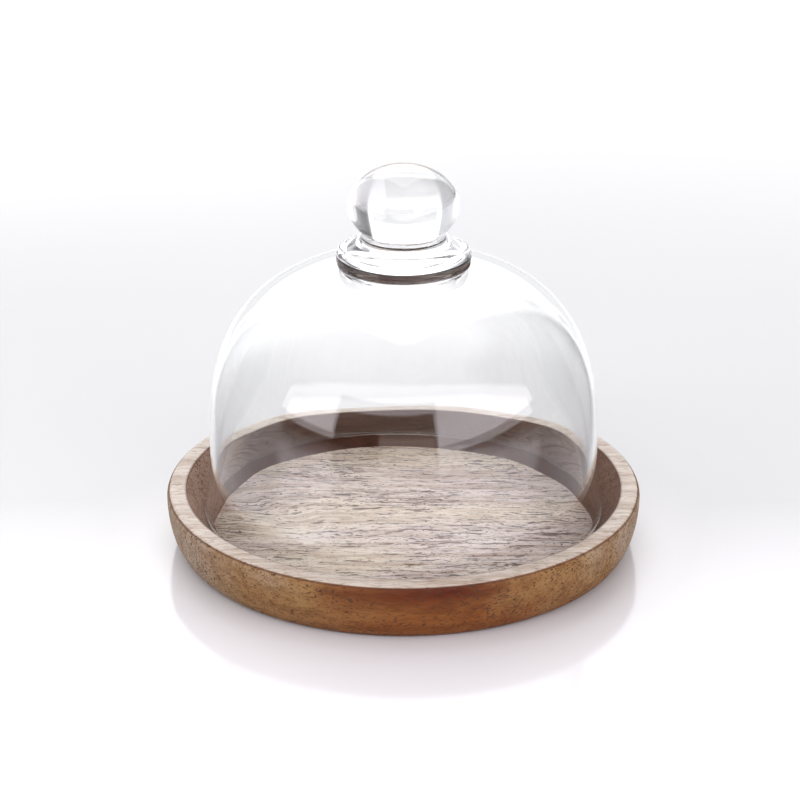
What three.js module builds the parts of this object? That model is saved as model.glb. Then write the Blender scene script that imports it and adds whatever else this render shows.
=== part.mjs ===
// A glass cheese dome on a round wooden tray. Millimetres, +Z up.
// The origin is the centre of the tray's underside, on the table that the tray stands on.
// Every piece is turned about the Z axis: its profile is drawn as (radius, height) and revolved.
import * as THREE from "three";

// Around the axis, and between neighbours
const SIDES = 60; // flat sides round every turned piece
const TOUCH = 0.3; // gap between two pieces that touch

// Wooden tray
const TRAY_RADIUS = 90;
const TRAY_HEIGHT = 22.5;
const FOOT_RADIUS = 82; // flat underside
const RIM_ROUND = 2.4; // rounding of the rim's outer edge
const RIM_INNER_RADIUS = 82.5;
const RIM_CHAMFER = 0.4; // broken inner edge of the rim
const FLOOR_RADIUS = 72;
const FLOOR_HEIGHT = 7; // thickness of wood under the food

// Glass bell
const LIP_RADIUS = 76; // outer, at the mouth
const GLASS = 3; // wall thickness
const WALL_TOP_RADIUS = 73.35; // outer, where the wall turns into the crown
const WALL_HEIGHT = 23.7; // from the lip's rounding to the crown
const CROWN_HEIGHT = 73.1; // outer
const CROWN_SQUARENESS = 2.74; // exponent of the crown's superellipse, where 2 is an ellipse
const CROWN_GLASS = 5.4; // thickness at the very top, where the collar's glass ran in

// Glass collar and neck
const COLLAR_RADIUS = 25;
const COLLAR_THICKNESS = 6.6; // at the side
const COLLAR_ROUND = 2.6; // rounding of the upper edge
const COLLAR_BEVEL = 2; // rounding of the lower edge
const COLLAR_UNDERCUT = 3.2; // how far the collar stands out over its seat on the bell
const NECK_FOOT_RADIUS = 21.5; // where the neck's flare runs out on the collar
const NECK_RADIUS = 15.6;
const NECK_HEIGHT = 6.53; // from the collar's top face to the knob

// Glass knob
const KNOB_RADIUS = 20.4;
const KNOB_HALF_HEIGHT = 15;

// The bell hangs in the recess by its rounded lip, which touches the sloping wall all round.
const SLOPE = Math.atan2(RIM_INNER_RADIUS - FLOOR_RADIUS, TRAY_HEIGHT - FLOOR_HEIGHT);
const LIP_ROUND = GLASS / 2;
const LIP_CENTRE_RADIUS = LIP_RADIUS - LIP_ROUND;
const LIP_CENTRE_HEIGHT =
  FLOOR_HEIGHT +
  (LIP_ROUND + TOUCH + (LIP_CENTRE_RADIUS - FLOOR_RADIUS) * Math.cos(SLOPE)) / Math.sin(SLOPE);
const CROWN_BASE = LIP_CENTRE_HEIGHT + WALL_HEIGHT;

const WOOD = new THREE.MeshStandardMaterial({ color: 0xa67c52, roughness: 0.55, metalness: 0 });
const CLEAR_GLASS = new THREE.MeshStandardMaterial({
  color: 0xeef3f3,
  roughness: 0.03,
  metalness: 0,
  transparent: true,
  opacity: 0.35,
});

const point = (radius, height) => new THREE.Vector2(radius, height);

// Points on an arc of an ellipse about (radius, height), from one angle to another in degrees.
function arc(centreRadius, centreHeight, a, b, from, to, steps) {
  const points = [];
  for (let i = 0; i <= steps; i++) {
    const angle = THREE.MathUtils.degToRad(from + ((to - from) * i) / steps);
    points.push(point(centreRadius + a * Math.cos(angle), centreHeight + b * Math.sin(angle)));
  }
  return points;
}

// A dome's outline from its widest point up to the axis.
function crown(radius, height, base, steps) {
  const points = [];
  for (let i = 0; i < steps; i++) {
    const angle = (Math.PI / 2) * (i / steps);
    const across = Math.cos(angle) ** (2 / CROWN_SQUARENESS);
    const up = Math.sin(angle) ** (2 / CROWN_SQUARENESS);
    points.push(point(radius * across, base + height * up));
  }
  points.push(point(0, base + height));
  return points;
}

// The bell's wall from the mouth up, flaring towards the mouth and upright at the crown.
function wall(mouthRadius, topRadius, steps) {
  const points = [];
  for (let i = 1; i < steps; i++) {
    const up = i / steps;
    const flare = (mouthRadius - topRadius) * (1 - up) ** 2;
    points.push(point(topRadius + flare, LIP_CENTRE_HEIGHT + WALL_HEIGHT * up));
  }
  return points;
}

// Height of the crown's outer surface at a radius.
function crownHeightAt(radius) {
  const across = (radius / WALL_TOP_RADIUS) ** CROWN_SQUARENESS;
  return CROWN_BASE + CROWN_HEIGHT * (1 - across) ** (1 / CROWN_SQUARENESS);
}

// Revolves a closed profile that runs from the foot up the outside, and stands it on +Z.
function turned(name, profile, material) {
  const geometry = new THREE.LatheGeometry(profile, SIDES);
  geometry.rotateX(Math.PI / 2);
  const mesh = new THREE.Mesh(geometry, material);
  mesh.name = name;
  return mesh;
}

// A shallow dish: flat foot, bulging side, flat rim and a recess with a sloping wall.
function woodenTray() {
  const shoulder = TRAY_HEIGHT - RIM_ROUND;
  const profile = [
    point(0, 0),
    ...arc(FOOT_RADIUS, shoulder, TRAY_RADIUS - FOOT_RADIUS, shoulder, -90, 0, 8),
    ...arc(TRAY_RADIUS - RIM_ROUND, shoulder, RIM_ROUND, RIM_ROUND, 22.5, 90, 3),
    point(RIM_INNER_RADIUS + RIM_CHAMFER, TRAY_HEIGHT),
    point(RIM_INNER_RADIUS - RIM_CHAMFER * Math.sin(SLOPE), TRAY_HEIGHT - RIM_CHAMFER),
    point(FLOOR_RADIUS, FLOOR_HEIGHT),
    point(0, FLOOR_HEIGHT),
  ];
  return turned("wooden_tray", profile, WOOD);
}

// The blown shell: an upright wall with a slight flare, a full crown and a fire-rounded lip.
function glassBell() {
  const mouthInner = LIP_RADIUS - GLASS;
  const crownInner = WALL_TOP_RADIUS - GLASS;
  const inside = [
    ...wall(mouthInner, crownInner, 3),
    ...crown(crownInner, CROWN_HEIGHT - CROWN_GLASS, CROWN_BASE, 13),
  ];
  const profile = [
    ...inside.reverse(),
    ...arc(LIP_CENTRE_RADIUS, LIP_CENTRE_HEIGHT, LIP_ROUND, LIP_ROUND, 180, 360, 6),
    ...wall(LIP_RADIUS, WALL_TOP_RADIUS, 3),
    ...crown(WALL_TOP_RADIUS, CROWN_HEIGHT, CROWN_BASE, 14),
  ];
  return turned("glass_bell", profile, CLEAR_GLASS);
}

// The heights that the collar and the knob stand at follow from the crown below them.
const COLLAR_BASE = crownHeightAt(COLLAR_RADIUS - COLLAR_UNDERCUT) + TOUCH;
const COLLAR_TOP = COLLAR_BASE + COLLAR_THICKNESS;
const KNOB_FOOT = COLLAR_TOP + NECK_HEIGHT;
const KNOB_CENTRE =
  KNOB_FOOT + KNOB_HALF_HEIGHT * Math.sqrt(1 - (NECK_RADIUS / KNOB_RADIUS) ** 2);

// A solid disc laid on the crown, drawn up into a flared neck.
function knobCollar() {
  const underside = [0, 0.35, 0.7].map((share) => {
    const radius = share * COLLAR_RADIUS;
    return point(radius, crownHeightAt(radius) + TOUCH);
  });
  const flare = new THREE.QuadraticBezierCurve(
    point(NECK_FOOT_RADIUS, COLLAR_TOP - 0.2),
    point(NECK_RADIUS + 2, COLLAR_TOP + 2.4),
    point(NECK_RADIUS, KNOB_FOOT - 1.8),
  );
  const side = COLLAR_RADIUS - COLLAR_ROUND;
  const profile = [
    ...underside,
    point(COLLAR_RADIUS - COLLAR_UNDERCUT, COLLAR_BASE),
    point(COLLAR_RADIUS - COLLAR_BEVEL, COLLAR_BASE),
    point(COLLAR_RADIUS, COLLAR_BASE + COLLAR_BEVEL),
    ...arc(side, COLLAR_TOP - COLLAR_ROUND, COLLAR_ROUND, COLLAR_ROUND, 0, 90, 3),
    ...flare.getPoints(5),
    point(NECK_RADIUS, KNOB_FOOT - TOUCH),
    point(0, KNOB_FOOT - TOUCH),
  ];
  return turned("knob_collar", profile, CLEAR_GLASS);
}

// A solid flattened ball, flat where it is fused to the neck.
function glassKnob() {
  const foot = THREE.MathUtils.radToDeg(Math.asin((KNOB_CENTRE - KNOB_FOOT) / KNOB_HALF_HEIGHT));
  const ball = arc(0, KNOB_CENTRE, KNOB_RADIUS, KNOB_HALF_HEIGHT, -foot, 90, 12);
  ball[ball.length - 1].x = 0;
  return turned("glass_knob", [point(0, KNOB_FOOT), ...ball], CLEAR_GLASS);
}

const cheeseDome = new THREE.Group();
cheeseDome.name = "cheese_dome";
const cloche = new THREE.Group();
cloche.name = "cloche";
cloche.add(glassBell(), knobCollar(), glassKnob());
cheeseDome.add(woodenTray(), cloche);

export default cheeseDome;
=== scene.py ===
"""A glass cheese dome on a turned wooden tray, in metres, +Z up, the camera in front at -Y."""

import math

import bpy
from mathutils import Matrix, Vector


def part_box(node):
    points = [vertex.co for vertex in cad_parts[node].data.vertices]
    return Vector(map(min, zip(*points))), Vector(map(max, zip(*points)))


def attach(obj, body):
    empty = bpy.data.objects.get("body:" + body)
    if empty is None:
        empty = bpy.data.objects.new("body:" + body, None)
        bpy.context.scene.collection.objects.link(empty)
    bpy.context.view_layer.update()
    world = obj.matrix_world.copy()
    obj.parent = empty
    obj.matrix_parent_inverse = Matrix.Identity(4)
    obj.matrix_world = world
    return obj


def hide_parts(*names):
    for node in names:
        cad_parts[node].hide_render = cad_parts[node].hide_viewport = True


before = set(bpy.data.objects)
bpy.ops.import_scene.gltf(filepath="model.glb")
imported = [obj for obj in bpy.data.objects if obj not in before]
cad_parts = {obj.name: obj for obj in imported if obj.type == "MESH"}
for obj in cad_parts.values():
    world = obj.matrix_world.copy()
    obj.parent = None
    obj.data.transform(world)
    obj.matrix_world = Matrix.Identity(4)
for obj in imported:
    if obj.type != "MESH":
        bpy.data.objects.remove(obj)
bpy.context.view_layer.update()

MM = 0.001

# ---------------------------------------------------------------- sizes, from the frame where it holds them
TRAY_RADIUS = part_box("wooden_tray")[1].x
TRAY_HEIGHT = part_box("wooden_tray")[1].z
FOOT_RADIUS = 82 * MM
RIM_ROUND = 2.4 * MM
RIM_INNER_RADIUS = 82.5 * MM
RIM_CHAMFER = 0.4 * MM
FLOOR_RADIUS = 72 * MM
FLOOR_HEIGHT = 7 * MM
FOOT_ROUND = 0.5 * MM
FLOOR_CORNER = 0.8 * MM

LIP_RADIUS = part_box("glass_bell")[1].x
LIP_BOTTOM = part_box("glass_bell")[0].z
CROWN_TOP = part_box("glass_bell")[1].z
GLASS = 3 * MM
LIP_ROUND = GLASS / 2
WALL_TOP_RADIUS = 73.35 * MM
WALL_HEIGHT = 23.7 * MM
CROWN_SQUARENESS = 2.74
CROWN_GLASS = 5.4 * MM
LIP_CENTRE_RADIUS = LIP_RADIUS - LIP_ROUND
LIP_CENTRE_HEIGHT = LIP_BOTTOM + LIP_ROUND
CROWN_BASE = LIP_CENTRE_HEIGHT + WALL_HEIGHT
CROWN_HEIGHT = CROWN_TOP - CROWN_BASE

COLLAR_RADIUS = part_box("knob_collar")[1].x
COLLAR_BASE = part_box("knob_collar")[0].z
COLLAR_THICKNESS = 6.6 * MM
COLLAR_TOP = COLLAR_BASE + COLLAR_THICKNESS
COLLAR_ROUND = 2.6 * MM
COLLAR_UNDERCUT = 3.2 * MM
COLLAR_LOW_ROUND = 2 * MM
NECK_FOOT_RADIUS = 21.5 * MM
NECK_RADIUS = 15.6 * MM
KNOB_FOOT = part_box("glass_knob")[0].z
KNOB_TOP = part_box("glass_knob")[1].z
KNOB_RADIUS = 20.4 * MM
KNOB_HALF_HEIGHT = 15 * MM
KNOB_CENTRE = KNOB_TOP - KNOB_HALF_HEIGHT

EASED_EDGE = 0.25 * MM  # rounding of the two edges of the rim's chamfer
WALL_FOOT = (FLOOR_RADIUS + 1 * MM, FLOOR_HEIGHT + 1.55 * MM)  # on the recess wall, above the floor's corner
KNOB_SEAM = 0.5 * MM  # rounding of the corner between neck and knob
AXIS = 1e-7  # a smaller radius than this is on the axis

TRAY_SEGMENTS = 384
GLASS_SEGMENTS = 224
CROWN_STEPS = 48
WALL_STEPS = 16

# Blown glass is not quite round
RIPPLE = 0.05 * MM
RIPPLE_FADE = 20 * MM  # the ripple dies out over this distance towards the axis and the lip
INSIDE_PHASE = 1.3
OUTSIDE_PHASE = 4.0

# ---------------------------------------------------------------- camera and lights, in metres and degrees
CAMERA_PLACE = Vector((-1.3 * MM, -0.831, 0.4019))
CAMERA_TARGET = Vector((-1.3 * MM, 0, 55.9 * MM))
CAMERA_LENS = 107.5
CAMERA_SENSOR = 36


# ================================================================ outlines: lists of (radius, height)
def arc(centre, radii, start, end, steps):
    """Points on an ellipse from angle start to end, in degrees, both ends included."""
    points = []
    for i in range(steps + 1):
        angle = math.radians(start + (end - start) * i / steps)
        points.append((centre[0] + radii[0] * math.cos(angle), centre[1] + radii[1] * math.sin(angle)))
    return points


def line(start, end, steps):
    """Points on a straight line, without its first point."""
    return [
        (start[0] + (end[0] - start[0]) * i / steps, start[1] + (end[1] - start[1]) * i / steps)
        for i in range(1, steps + 1)
    ]


def bezier(start, control, end, steps):
    """Points on a quadratic curve, without its first point."""
    points = []
    for i in range(1, steps + 1):
        t = i / steps
        a, b, c = (1 - t) ** 2, 2 * t * (1 - t), t * t
        points.append(tuple(a * start[k] + b * control[k] + c * end[k] for k in (0, 1)))
    return points


def fillet(before, corner, after, radius, steps=4):
    """Replaces a corner by a round stretch: cuts back by radius on both sides and curves between."""
    corner_point = Vector(corner)
    start = corner_point + (Vector(before) - corner_point).normalized() * radius
    end = corner_point + (Vector(after) - corner_point).normalized() * radius
    return [tuple(start)] + bezier(start, corner, end, steps)


def crown(radius, height, start, end, steps):
    """The bell's top: a squarish quarter ellipse, from angle start to end, 90 degrees on the axis."""
    power = 2 / CROWN_SQUARENESS
    points = []
    for i in range(steps + 1):
        angle = math.radians(start + (end - start) * i / steps)
        across = max(math.cos(angle), 0) ** power
        up = max(math.sin(angle), 0) ** power
        points.append((radius * across, CROWN_BASE + height * up))
    return points


def wall(top_radius, mouth_radius, steps):
    """The bell's side from its mouth up to the crown, flaring towards the mouth."""
    points = []
    for i in range(steps + 1):
        up = i / steps
        radius = top_radius + (mouth_radius - top_radius) * (1 - up) ** 2
        points.append((radius, LIP_CENTRE_HEIGHT + WALL_HEIGHT * up))
    return points


def crown_angle_at(radius):
    """The crown's angle, in degrees, where its outside has this radius."""
    return math.degrees(math.acos((radius / WALL_TOP_RADIUS) ** (CROWN_SQUARENESS / 2)))


def tray_outline():
    """Bottom centre, foot, rounded side, rim, sloping inner wall, floor centre."""
    side_radii = (TRAY_RADIUS - FOOT_RADIUS, TRAY_HEIGHT - RIM_ROUND)
    side = arc((FOOT_RADIUS, side_radii[1]), side_radii, -84, 0, 28)
    rim_centre = (TRAY_RADIUS - RIM_ROUND, TRAY_HEIGHT - RIM_ROUND)
    rim = arc(rim_centre, (RIM_ROUND, RIM_ROUND), 0, 90, 8)
    floor_corner = (FLOOR_RADIUS, FLOOR_HEIGHT)
    chamfer_top = (RIM_INNER_RADIUS + RIM_CHAMFER, TRAY_HEIGHT)
    chamfer_foot = (RIM_INNER_RADIUS, TRAY_HEIGHT - RIM_CHAMFER)
    inner = fillet(rim[-1], chamfer_top, chamfer_foot, EASED_EDGE)
    inner += fillet(chamfer_top, chamfer_foot, floor_corner, EASED_EDGE)
    inner += line(inner[-1], WALL_FOOT, 10)
    inner += fillet(chamfer_foot, floor_corner, (0, FLOOR_HEIGHT), FLOOR_CORNER, 5)
    foot = fillet((0, 0), (side[0][0], 0), side[1], FOOT_ROUND)
    bottom = [(0, 0)] + line((0, 0), foot[0], 8)[:-1]
    rim_flat = line(rim[-1], inner[0], 4)[:-1]
    floor = line(inner[-1], (0, FLOOR_HEIGHT), 12)
    return bottom + foot + side[1:] + rim[1:] + rim_flat + inner + floor


def glass_outline():
    """The whole cloche as one piece of glass: up the inside, round the lip, up the outside to the knob."""
    inside = crown(WALL_TOP_RADIUS - GLASS, CROWN_HEIGHT - CROWN_GLASS, 90, 0, CROWN_STEPS)
    inside_wall = wall(WALL_TOP_RADIUS - GLASS, LIP_RADIUS - GLASS, WALL_STEPS)
    lip = arc((LIP_CENTRE_RADIUS, LIP_CENTRE_HEIGHT), (LIP_ROUND, LIP_ROUND), 180, 360, 14)
    outside_wall = wall(WALL_TOP_RADIUS, LIP_RADIUS, WALL_STEPS)
    seat_radius = COLLAR_RADIUS - COLLAR_UNDERCUT
    outside = crown(WALL_TOP_RADIUS, CROWN_HEIGHT, 0, crown_angle_at(seat_radius), 40)
    seat = outside[-1]
    collar_low = (COLLAR_RADIUS, COLLAR_BASE)
    collar_high = (COLLAR_RADIUS, COLLAR_TOP - COLLAR_ROUND)
    collar = fillet(seat, collar_low, collar_high, COLLAR_LOW_ROUND, 8)
    collar += line(collar[-1], collar_high, 4)
    round_centre = (COLLAR_RADIUS - COLLAR_ROUND, collar_high[1])
    collar += arc(round_centre, (COLLAR_ROUND, COLLAR_ROUND), 0, 80, 8)[1:]
    flare_foot = (NECK_FOOT_RADIUS, COLLAR_TOP - 0.2 * MM)
    neck_top = (NECK_RADIUS, KNOB_FOOT - 1.8 * MM)
    collar += bezier(collar[-1], (NECK_FOOT_RADIUS + 0.9 * MM, COLLAR_TOP), flare_foot, 4)
    collar += bezier(flare_foot, (NECK_RADIUS + 2 * MM, COLLAR_TOP + 2.4 * MM), neck_top, 14)
    foot_angle = -math.degrees(math.acos(NECK_RADIUS / KNOB_RADIUS))
    knob = arc((0, KNOB_CENTRE), (KNOB_RADIUS, KNOB_HALF_HEIGHT), foot_angle, 90, 48)
    neck = line(neck_top, knob[0], 5)[:-1]
    neck += fillet(neck_top, knob[0], knob[1], KNOB_SEAM, 4)
    return (
        inside + inside_wall[::-1][1:] + lip[1:] + outside_wall[1:] + outside[1:] + collar + neck + knob[2:]
    )


# ================================================================ meshes
def ripple(angle, height, phase):
    """Hand-made glass is not quite round: a slow wave, in metres, that closes on itself round the axis."""
    return RIPPLE * (
        math.sin(3 * angle + 95 * height + phase)
        + 0.7 * math.sin(5 * angle - 160 * height + 2.1 * phase)
        + 0.5 * math.sin(2 * angle + 230 * height + 0.6 * phase)
    )


def turned(name, outline, segments, wave=None):
    """Revolves an outline that starts and ends on the axis into one closed mesh.
    wave(angle, radius, height, step) gives a small change of radius."""
    vertices = []
    rings = []
    for step, (radius, height) in enumerate(outline):
        if radius < AXIS:
            rings.append([len(vertices)])
            vertices.append((0, 0, height))
            continue
        rings.append(list(range(len(vertices), len(vertices) + segments)))
        for i in range(segments):
            angle = 2 * math.pi * i / segments
            moved = radius + (wave(angle, radius, height, step) if wave else 0)
            vertices.append((moved * math.cos(angle), moved * math.sin(angle), height))
    faces = []
    for low, high in zip(rings, rings[1:]):
        for i in range(segments):
            j = (i + 1) % segments
            if len(low) == 1:
                faces.append((low[0], high[j], high[i]))
            elif len(high) == 1:
                faces.append((low[i], low[j], high[0]))
            else:
                faces.append((low[i], low[j], high[j], high[i]))
    mesh = bpy.data.meshes.new(name)
    mesh.from_pydata(vertices, [], faces)
    mesh.shade_smooth()
    piece = bpy.data.objects.new(name, mesh)
    bpy.context.scene.collection.objects.link(piece)
    return piece


# ================================================================ node helpers
class Nodes:
    """A short way to write a node tree."""

    def __init__(self, tree):
        self.tree = tree
        tree.nodes.clear()

    def add(self, kind, inputs=None, **settings):
        node = self.tree.nodes.new(kind)
        for key, value in settings.items():
            setattr(node, key, value)
        for key, value in (inputs or {}).items():
            if isinstance(value, bpy.types.NodeSocket):
                self.tree.links.new(value, node.inputs[key])
            else:
                node.inputs[key].default_value = value
        return node

    def math(self, operation, a, b=0.0, clamp=False):
        return self.add("ShaderNodeMath", {0: a, 1: b}, operation=operation, use_clamp=clamp).outputs[0]

    def multiply_add(self, value, factor, offset):
        inputs = {0: value, 1: factor, 2: offset}
        return self.add("ShaderNodeMath", inputs, operation="MULTIPLY_ADD").outputs[0]

    def vector_math(self, operation, a, b):
        return self.add("ShaderNodeVectorMath", {0: a, 1: b}, operation=operation).outputs[0]

    def stretched(self, vector, scale):
        return self.add("ShaderNodeMapping", {"Vector": vector, "Scale": scale}).outputs[0]

    def noise(self, vector, detail=2.0, roughness=0.5):
        inputs = {"Vector": vector, "Scale": 1.0, "Detail": detail, "Roughness": roughness}
        return self.add("ShaderNodeTexNoise", inputs).outputs["Fac"]

    def ramp(self, value, low, high, smooth=True):
        """0 at low, 1 at high."""
        kind = "SMOOTHSTEP" if smooth else "LINEAR"
        inputs = {"Value": value, "From Min": low, "From Max": high}
        return self.add("ShaderNodeMapRange", inputs, interpolation_type=kind).outputs["Result"]

    def mix(self, factor, a, b, blend="MIX"):
        node = self.add("ShaderNodeMix", {"Factor": factor}, data_type="RGBA", blend_type=blend)
        for socket, value in ((node.inputs[6], a), (node.inputs[7], b)):
            if isinstance(value, bpy.types.NodeSocket):
                self.tree.links.new(value, socket)
            else:
                socket.default_value = (*value, 1)
        return node.outputs[2]


def new_material(name):
    material = bpy.data.materials.new(name)
    material.use_nodes = True
    return material, Nodes(material.node_tree)


# ================================================================ materials
# The top's pale colours are partly the wood's own tone and partly a painted sheen of the backdrop's glare
CREAM_SHEEN_WOOD = (0.86, 0.745, 0.615)
ROSY_SHEEN_WOOD = (0.81, 0.695, 0.645)
# The rim's top colour, darker than the floor's, also holds a painted sheen
RIM_SHEEN_WOOD = (0.57, 0.50, 0.43)
# Painted shade, for dark edges
EDGE_SHADE_WOOD = (0.10, 0.035, 0.015)
# Painted sheen on the turned side towards its left and right ends
SIDE_SHEEN_WOOD = (0.37, 0.285, 0.205)
# Painted sheen on the recess wall's left and right ends
WALL_SHEEN_WOOD = (0.60, 0.42, 0.33)
INNER_WALL_WOOD = (0.085, 0.03, 0.016)
BROWN_WOOD = (0.215, 0.075, 0.018)
GOLD_WOOD = (0.30, 0.175, 0.07)
# Partly darker wood, partly painted shade, high on the side at front and back
RED_SHADE_WOOD = (0.09, 0.014, 0.003)
PORE_WOOD = (0.075, 0.036, 0.02)
DARK_STREAK = (0.74, 0.66, 0.6)


# Where the wood's colour, painted shade and painted sheen change
SIDE_BAND_X = 14 * MM  # the turned side's colour bands centre on this X, at front and back; the darkest red-brown part is partly darker wood, partly painted shade
RED_SHADE_LOW = 11 * MM
RED_SHADE_HIGH = 20 * MM
WALL_SHEEN_START = 62 * MM  # the recess wall has a painted sheen beyond this X, on the left and right
WALL_SHEEN_FULL = 80 * MM
RIGHT_SHEEN_SHARE = 0.4  # and less so on the right

GLASS_IOR = 1.5

FLOOR_BEHIND = (0.465, 0.465, 0.471)
# Painted light: the floor's paler colour round and in front of the tray
FLOOR_LIT_POOL = (0.80, 0.785, 0.795)


def wood_material():
    """Oiled wood, its grain along X: pale on top, partly its own tone and partly painted sheen, golden brown
    on the turned side, with painted shade and sheen in places.
    """
    material, n = new_material("turned_wood")
    coordinates = n.add("ShaderNodeTexCoord")
    place = coordinates.outputs["Object"]
    up = n.add("ShaderNodeSeparateXYZ", {0: coordinates.outputs["Normal"]}).outputs["Z"]
    x, y, z = n.add("ShaderNodeSeparateXYZ", {0: place}).outputs
    flat = n.vector_math("MULTIPLY", place, (1, 1, 0))
    radius = n.add("ShaderNodeVectorMath", {0: flat}, operation="LENGTH").outputs["Value"]

    sway = n.add("ShaderNodeTexNoise", {"Vector": n.stretched(place, (70, 120, 120)), "Scale": 1.0})
    centred = n.vector_math("SUBTRACT", sway.outputs["Color"], (0.5, 0.5, 0.5))
    grain = n.vector_math("ADD", place, n.vector_math("MULTIPLY", centred, (0.0, 0.005, 0.005)))

    broad = n.noise(n.stretched(grain, (12, 34, 34)), 3.0)
    streaks = n.noise(n.stretched(grain, (20, 300, 300)), 3.0, 0.6)
    clusters = n.multiply_add(n.noise(n.stretched(grain, (30, 60, 60)), 2.0), 0.2, -0.1)
    long_pores = n.noise(n.stretched(grain, (85, 1000, 1000)), 2.0, 0.6)
    short_pores = n.noise(n.stretched(grain, (520, 1500, 1500)), 1.0, 0.5)
    fibres = n.noise(n.stretched(grain, (160, 1400, 1400)), 2.0, 0.6)

    on_top = n.ramp(up, 0.72, 0.9)
    long_pores = n.ramp(n.math("ADD", long_pores, clusters), 0.555, 0.63)
    least = n.multiply_add(on_top, 0.08, 0.57)
    most = n.multiply_add(on_top, 0.04, 0.66)
    short_pores = n.ramp(n.math("ADD", short_pores, clusters), least, most)
    long_pores = n.math("MULTIPLY", long_pores, n.multiply_add(on_top, 0.7, 0.15))
    pores = n.math("MAXIMUM", long_pores, short_pores)

    # Painted sheen: the top's pale colour stands in for the backdrop's glare on the wood
    top = n.mix(n.ramp(broad, 0.4, 0.6), CREAM_SHEEN_WOOD, ROSY_SHEEN_WOOD)
    # Painted sheen also on the rim's top, in a colour darker than the floor's
    on_rim = n.ramp(radius, RIM_INNER_RADIUS - 1 * MM, RIM_INNER_RADIUS)
    top = n.mix(on_rim, top, RIM_SHEEN_WOOD)
    # Painted shade: a thin dark line on the rim's inner edge, where the recess wall shades it
    inner_edge_shade = n.ramp(radius, RIM_INNER_RADIUS + 1.1 * MM, RIM_INNER_RADIUS + 0.5 * MM)
    top = n.mix(n.math("MULTIPLY", n.math("MULTIPLY", on_rim, inner_edge_shade), 0.55), top, EDGE_SHADE_WOOD)
    off_band_centre = n.math("ABSOLUTE", n.math("SUBTRACT", x, SIDE_BAND_X))
    band = n.math("ADD", off_band_centre, n.multiply_add(broad, 0.1, -0.05))
    side = n.mix(n.ramp(band, 0.02, 0.065), BROWN_WOOD, GOLD_WOOD)
    # Painted shade, with some darker wood: red-brown high on the turned side at front and back
    red_shade = n.math("MULTIPLY", n.ramp(band, 0.055, 0.015), n.ramp(z, RED_SHADE_LOW, RED_SHADE_HIGH))
    # Painted sheen: the side turns paler towards its left and right ends, where it is seen edge-on
    side = n.mix(n.ramp(band, 0.05, 0.09), side, SIDE_SHEEN_WOOD)
    side = n.mix(red_shade, side, RED_SHADE_WOOD)
    # Painted sheen: the recess wall turns paler towards its left and right ends, more on the left
    left_sheen = n.ramp(x, -WALL_SHEEN_START, -WALL_SHEEN_FULL)
    right_sheen = n.math("MULTIPLY", n.ramp(x, WALL_SHEEN_START, WALL_SHEEN_FULL), RIGHT_SHEEN_SHARE)
    wall_sheen = n.math("MAXIMUM", left_sheen, right_sheen)
    wall = n.mix(wall_sheen, INNER_WALL_WOOD, WALL_SHEEN_WOOD)
    side = n.mix(n.ramp(radius, RIM_INNER_RADIUS + 1 * MM, RIM_INNER_RADIUS), side, wall)
    # Painted shade: darker where the surface slopes between upright and flat, on the rim's rounding, its
    # chamfer and the recess wall
    side = n.mix(n.math("MULTIPLY", n.ramp(up, 0.45, 0.7), 0.7), side, EDGE_SHADE_WOOD)
    colour = n.mix(on_top, side, top)
    colour = n.mix(n.ramp(streaks, 0.4, 0.68), colour, DARK_STREAK, "MULTIPLY")
    colour = n.mix(n.ramp(fibres, 0.45, 0.75), colour, DARK_STREAK, "MULTIPLY")
    bare = n.math("MULTIPLY", n.math("MULTIPLY", on_rim, on_top), 0.5)
    pores = n.math("MULTIPLY", pores, n.math("SUBTRACT", 0.88, bare))
    colour = n.mix(pores, colour, PORE_WOOD)

    relief = n.math("SUBTRACT", n.math("MULTIPLY", fibres, 0.3), pores)
    bump = n.add("ShaderNodeBump", {"Strength": 0.5, "Distance": 0.1 * MM, "Height": relief})
    polish = n.mix(on_top, (0.62, 0.62, 0.62), (0.34, 0.34, 0.34))
    surface = n.add(
        "ShaderNodeBsdfPrincipled",
        {
            "Base Color": colour,
            "Roughness": n.math("ADD", polish, n.math("MULTIPLY", pores, 0.3)),
            "Specular IOR Level": 0.18,
            "IOR": 1.5,
            "Normal": bump.outputs[0],
        },
    )
    n.add("ShaderNodeOutputMaterial", {"Surface": surface.outputs[0]})
    return material


def glass_material():
    """Clear soda-lime glass, with the faint green-grey of its thickness."""
    material, n = new_material("clear_glass")
    surface = n.add(
        "ShaderNodeBsdfPrincipled",
        {
            "Base Color": (0.985, 0.992, 0.99, 1),
            "Roughness": 0.0,
            "IOR": GLASS_IOR,
            "Transmission Weight": 1.0,
        },
    )
    n.add("ShaderNodeOutputMaterial", {"Surface": surface.outputs[0]})
    return material


def floor_material():
    """A glossy table top that mirrors the tray softly: light grey behind it, with a painted pool of light
    round it and in front.
    """
    material, n = new_material("pale_floor")
    place = n.add("ShaderNodeTexCoord").outputs["Object"]
    y = n.add("ShaderNodeSeparateXYZ", {0: place}).outputs["Y"]
    away = n.add("ShaderNodeVectorMath", {0: place, 1: (0, -0.05, 0)}, operation="DISTANCE")
    # Painted light: the floor is paler round the tray and in front of it, which lifts the tray's shadow
    # there
    near = n.math("MULTIPLY", n.ramp(away.outputs["Value"], 0.15, 0.08), 0.6)
    painted_light_pool = n.math("MAXIMUM", near, n.ramp(y, 0.03, -0.125, smooth=False))
    colour = n.mix(painted_light_pool, FLOOR_BEHIND, FLOOR_LIT_POOL)
    surface = n.add("ShaderNodeBsdfPrincipled", {"Base Color": colour, "Roughness": 0.13, "IOR": 1.5})
    n.add("ShaderNodeOutputMaterial", {"Surface": surface.outputs[0]})
    return material


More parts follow.
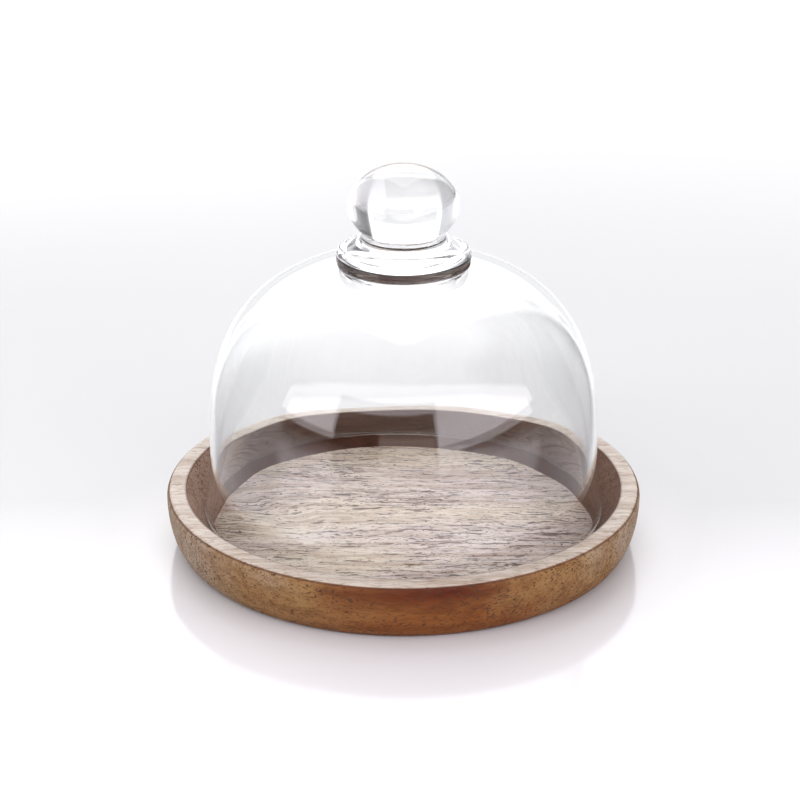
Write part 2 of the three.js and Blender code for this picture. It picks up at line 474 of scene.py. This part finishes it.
# ================================================================ stage
def add_floor():
    reach = 20  # metres, so that its far edge is at the horizon
    mesh = bpy.data.meshes.new("floor")
    corners = [(-reach, -reach, 0), (reach, -reach, 0), (reach, reach, 0), (-reach, reach, 0)]
    mesh.from_pydata(corners, [], [(0, 1, 2, 3)])
    mesh.materials.append(floor_material())
    floor = bpy.data.objects.new("floor", mesh)
    floor.location.z = -0.05 * MM
    bpy.context.scene.collection.objects.link(floor)


def direction(azimuth, elevation):
    """A unit vector: azimuth in degrees from the camera's side (-Y), positive to the right (+X)."""
    a, e = math.radians(azimuth), math.radians(elevation)
    return Vector((math.sin(a) * math.cos(e), -math.cos(a) * math.cos(e), math.sin(e)))


# Each bright or dark part of the studio, seen from the object: azimuths in degrees from the camera's side,
# positive to the right, elevations in degrees, a radiance, and the softness of its edge in degrees. Later
# ones cover earlier ones. They are placed for the reflections and outlines that they give in the glass.
SOFTBOX = (3.7, 3.5, 3.7)
BACKDROP_RIGHT = (2.48, 2.48, 2.52)
BACKDROP_LEFT = (3.02, 3.01, 3.05)
BACKDROP_FOOT = (0.9, 0.9, 0.92)
BACKDROP_BAND = (1.8, 1.8, 1.83)
STUDIO = (
    {"azimuth": (60, 152), "elevation": (-30, 55), "radiance": (0.12, 0.123, 0.128), "edge": 8},
    {"azimuth": (151, 190), "elevation": (-30, 84), "radiance": BACKDROP_RIGHT, "edge": 3},
    {"azimuth": (181, 211), "elevation": (-30, 84), "radiance": BACKDROP_LEFT, "edge": 4},
    {"azimuth": (153, 209), "elevation": (-30, 9), "radiance": BACKDROP_FOOT, "edge": 3},
    {"azimuth": (153, 209), "elevation": (17, 22), "radiance": BACKDROP_BAND, "edge": 2.5},
    {"azimuth": (-77, 84), "elevation": (-30, 30), "radiance": (0.03, 0.03, 0.03), "edge": 1},
    {"azimuth": (-14, 19), "elevation": (-30, 11), "radiance": (1.1, 0.95, 0.85), "edge": 1.5},
    {
        "azimuth": (-77, -42), "elevation": (3.9, 90), "radiance": SOFTBOX,
        "edge": 0.8, "tilt": -0.06, "under_sky": True,
    },
    {
        "azimuth": (20, 84), "elevation": (-2.9, 90), "radiance": SOFTBOX,
        "edge": 0.8, "tilt": 0.14, "under_sky": True,
    },
    {"azimuth": (-92, 92), "elevation": (31, 90), "radiance": SOFTBOX, "edge": 1.2, "under_sky": True},
)
STUDIO_WALLS = (0.7, 0.71, 0.74)
STUDIO_CEILING = (1.15, 1.16, 1.19)
SKY_POLE = (180, 55.4)
SKY_REACH = 78.6


def add_world():
    """A studio of bright and dark regions: a backdrop behind, softboxes in front, dark at camera height."""
    world = bpy.data.worlds.new("studio")
    world.use_nodes = True
    n = Nodes(world.node_tree)
    ray = n.add("ShaderNodeTexCoord").outputs["Generated"]
    x, y, z = n.add("ShaderNodeSeparateXYZ", {0: ray}).outputs
    to_right = n.math("DEGREES", n.math("ARCTAN2", x, n.math("MULTIPLY", y, -1.0)))
    right_of_back = n.math("DEGREES", n.math("ARCTAN2", n.math("MULTIPLY", x, -1.0), y))
    elevation = n.math("DEGREES", n.math("ARCSINE", z))
    pole = n.add("ShaderNodeVectorMath", {0: ray, 1: direction(*SKY_POLE)}, operation="DOT_PRODUCT")
    reach = math.cos(math.radians(SKY_REACH))
    below_sky = n.ramp(pole.outputs["Value"], reach + 0.05, reach - 0.05)

    def between(value, low, high, edge):
        above = n.ramp(value, low - edge, low + edge)
        below = n.ramp(value, high + edge, high - edge)
        return n.math("MULTIPLY", above, below)

    colour = n.mix(n.ramp(elevation, 30, 60), STUDIO_WALLS, STUDIO_CEILING)
    for part in STUDIO:
        low, high = part["azimuth"]
        height = elevation
        if "tilt" in part:
            height = n.math("SUBTRACT", elevation, n.math("MULTIPLY", to_right, part["tilt"]))
        if high > 180:
            across = between(right_of_back, low - 180, high - 180, part["edge"])
        else:
            across = between(to_right, low, high, part["edge"])
        share = n.math("MULTIPLY", across, between(height, *part["elevation"], part["edge"]))
        if part.get("under_sky"):
            share = n.math("MULTIPLY", share, below_sky)
        colour = n.mix(share, colour, part["radiance"])
    background = n.add("ShaderNodeBackground", {"Color": colour, "Strength": 1.0})
    n.add("ShaderNodeOutputWorld", {"Surface": background.outputs[0]})
    bpy.context.scene.world = world


def add_camera():
    lens = bpy.data.cameras.new("camera")
    lens.lens = CAMERA_LENS
    lens.sensor_width = CAMERA_SENSOR
    lens.clip_start = 0.01
    lens.clip_end = 100
    camera = bpy.data.objects.new("camera", lens)
    camera.location = CAMERA_PLACE
    camera.rotation_euler = (CAMERA_TARGET - CAMERA_PLACE).to_track_quat("-Z", "Y").to_euler()
    bpy.context.scene.collection.objects.link(camera)
    bpy.context.scene.camera = camera


def set_light_paths():
    """Clear glass in front of glass needs long light paths."""
    scene = bpy.context.scene
    scene.view_settings.view_transform = "Standard"
    cycles = scene.cycles
    cycles.max_bounces = 32
    cycles.transmission_bounces = 32
    cycles.glossy_bounces = 16
    cycles.diffuse_bounces = 5
    cycles.use_denoising = True


# ================================================================ the object
def add_tray():
    tray = turned("turned_tray", tray_outline(), TRAY_SEGMENTS)
    tray.data.materials.append(wood_material())
    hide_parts("wooden_tray")
    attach(tray, "tray")


def add_glass():
    outline = glass_outline()

    def wave(angle, radius, height, step):
        inside = step < CROWN_STEPS + WALL_STEPS
        fade = min(1, radius / RIPPLE_FADE, max(0, height - LIP_BOTTOM) / RIPPLE_FADE)
        return fade * ripple(angle, height, INSIDE_PHASE if inside else OUTSIDE_PHASE)

    glass = turned("glass_cloche", outline, GLASS_SEGMENTS, wave)
    glass.data.materials.append(glass_material())
    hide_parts("glass_bell", "knob_collar", "glass_knob")
    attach(glass, "dome")


add_camera()
set_light_paths()
add_world()
add_floor()
add_tray()
add_glass()
